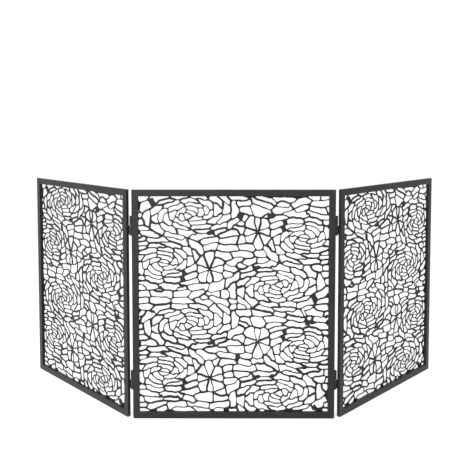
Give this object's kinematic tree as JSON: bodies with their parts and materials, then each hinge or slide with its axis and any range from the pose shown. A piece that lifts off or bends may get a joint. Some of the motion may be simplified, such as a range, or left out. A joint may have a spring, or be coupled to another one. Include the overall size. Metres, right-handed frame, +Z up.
{
  "type": "folding fireplace screen",
  "caption": "Folding fireplace screen of flat steel panels with openwork rose lattice, joined by barrel hinges so the wings fold.",
  "frame": {"origin": "on the floor under the middle of the centre panel's bottom rail, at mid-width and mid-depth of the tube", "axes": "+X to the right seen from the front, +Y back towards the fire, +Z up; the wings stand folded back at rest"},
  "size_m": [1.4226, 0.4164, 0.7],
  "materials": {
    "frame_powder_coat": "fine textured black powder coat",
    "sheet_powder_coat": "fine textured black powder coat",
    "hinge_powder_coat": "black powder coat",
    "hinge_pin_steel": "bright turned steel",
    "washer_brass": "plain brass"
  },
  "bodies": {
    "centre": {"centre_rail_bottom": "frame_powder_coat", "centre_rail_top": "frame_powder_coat", "centre_stile_left": "frame_powder_coat", "centre_stile_right": "frame_powder_coat", "centre_rose_sheet": "sheet_powder_coat", "hinge_left_top_barrel_upper": "hinge_powder_coat", "hinge_left_bottom_barrel_upper": "hinge_powder_coat", "hinge_right_top_barrel_upper": "hinge_powder_coat", "hinge_right_bottom_barrel_upper": "hinge_powder_coat"},
    "left_wing": {"left_wing_rail_bottom": "frame_powder_coat", "left_wing_rail_top": "frame_powder_coat", "left_wing_stile_left": "frame_powder_coat", "left_wing_stile_right": "frame_powder_coat", "left_wing_rose_sheet": "sheet_powder_coat", "hinge_left_top_barrel_lower": "hinge_powder_coat", "hinge_left_top_pin": "hinge_pin_steel", "hinge_left_top_washer": "washer_brass", "hinge_left_bottom_barrel_lower": "hinge_powder_coat", "hinge_left_bottom_pin": "hinge_pin_steel", "hinge_left_bottom_washer": "washer_brass"},
    "right_wing": {"right_wing_rail_bottom": "frame_powder_coat", "right_wing_rail_top": "frame_powder_coat", "right_wing_stile_left": "frame_powder_coat", "right_wing_stile_right": "frame_powder_coat", "right_wing_rose_sheet": "sheet_powder_coat", "hinge_right_top_barrel_lower": "hinge_powder_coat", "hinge_right_top_pin": "hinge_pin_steel", "hinge_right_top_washer": "washer_brass", "hinge_right_bottom_barrel_lower": "hinge_powder_coat", "hinge_right_bottom_pin": "hinge_pin_steel", "hinge_right_bottom_washer": "washer_brass"}
  },
  "joints": [
    {"name": "left_wing_fold", "type": "hinge", "parent": "centre", "child": "left_wing", "pos_m": [-0.3104, 0.008, 0], "axis": [0, 0, -1], "range_deg": [-78, 134]},
    {"name": "right_wing_fold", "type": "hinge", "parent": "centre", "child": "right_wing", "pos_m": [0.3104, 0.008, 0], "axis": [0, 0, 1], "range_deg": [-78, 110]}
  ]
}
